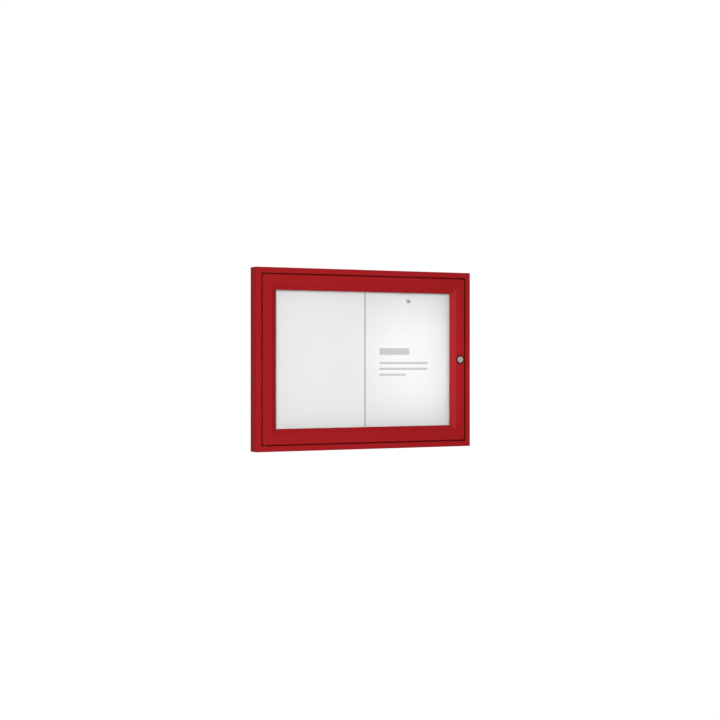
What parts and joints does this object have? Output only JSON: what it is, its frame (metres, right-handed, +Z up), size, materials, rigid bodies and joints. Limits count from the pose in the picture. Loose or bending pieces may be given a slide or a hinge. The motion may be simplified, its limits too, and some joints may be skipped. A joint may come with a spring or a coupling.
{
  "type": "notice board display case",
  "caption": "Slim wall-mounted notice case with mitred red aluminium bars, a hinged glazed door with a cam lock, and a white magnetic back panel holding a sheet.",
  "frame": {"origin": "centre of the back panel's rear face, which lies on the wall", "axes": "+X to the viewer's right along the width, +Y into the wall, +Z up; the glass faces -Y"},
  "size_m": [0.5246, 0.0342, 0.3944],
  "materials": {
    "red_powder_coat": "semi-gloss powder coat on extruded aluminium",
    "cast_key": "as cast",
    "zinc_steel": "zinc plated",
    "white_steel": "white stoved enamel on steel sheet",
    "black_rubber": "matt",
    "clear_glass": "clear toughened float glass",
    "bead_plastic": "extruded",
    "bush_plastic": "moulded acetal",
    "lock_nickel": "satin nickel plated brass",
    "sheet_paper": "plain office paper",
    "magnet_nickel": "nickel plated",
    "magnet_plastic": "moulded"
  },
  "bodies": {
    "case": {"case_rail_top": "red_powder_coat", "case_rail_bottom": "red_powder_coat", "case_stile_left": "red_powder_coat", "case_stile_right": "red_powder_coat", "case_key_top_left": "cast_key", "case_key_top_right": "cast_key", "case_key_bottom_left": "cast_key", "case_key_bottom_right": "cast_key", "case_corner_screws": "zinc_steel", "back_panel": "white_steel", "back_panel_screws": "zinc_steel", "door_seal": "black_rubber", "pivot_pin_top": "zinc_steel", "pivot_pin_bottom": "zinc_steel", "notice_sheet": "sheet_paper", "magnet_foot": "magnet_nickel", "magnet_grip": "magnet_plastic"},
    "door": {"door_rail_top": "red_powder_coat", "door_rail_bottom": "red_powder_coat", "door_stile_left": "red_powder_coat", "door_stile_right": "red_powder_coat", "door_key_top_left": "cast_key", "door_key_top_right": "cast_key", "door_key_bottom_left": "cast_key", "door_key_bottom_right": "cast_key", "door_corner_screws": "zinc_steel", "glazing_gasket": "black_rubber", "door_glass": "clear_glass", "glazing_bead_top": "bead_plastic", "glazing_bead_bottom": "bead_plastic", "glazing_bead_left": "bead_plastic", "glazing_bead_right": "bead_plastic", "pivot_bush_top": "bush_plastic", "pivot_bush_bottom": "bush_plastic", "lock_washer": "black_rubber", "lock_housing": "lock_nickel", "lock_nut": "zinc_steel"},
    "lock_core": {"lock_plug": "lock_nickel", "lock_cam": "zinc_steel", "cam_screw": "zinc_steel"}
  },
  "joints": [
    {"name": "door_swing", "type": "hinge", "parent": "case", "child": "door", "pos_m": [-0.24095, -0.0265, 0], "axis": [0, 0, -1], "range_deg": [0, 110]},
    {"name": "lock_turn", "type": "hinge", "parent": "door", "child": "lock_core", "pos_m": [0.23575, -0.032, 0], "axis": [0, -1, 0], "range_deg": [0, 90]}
  ]
}
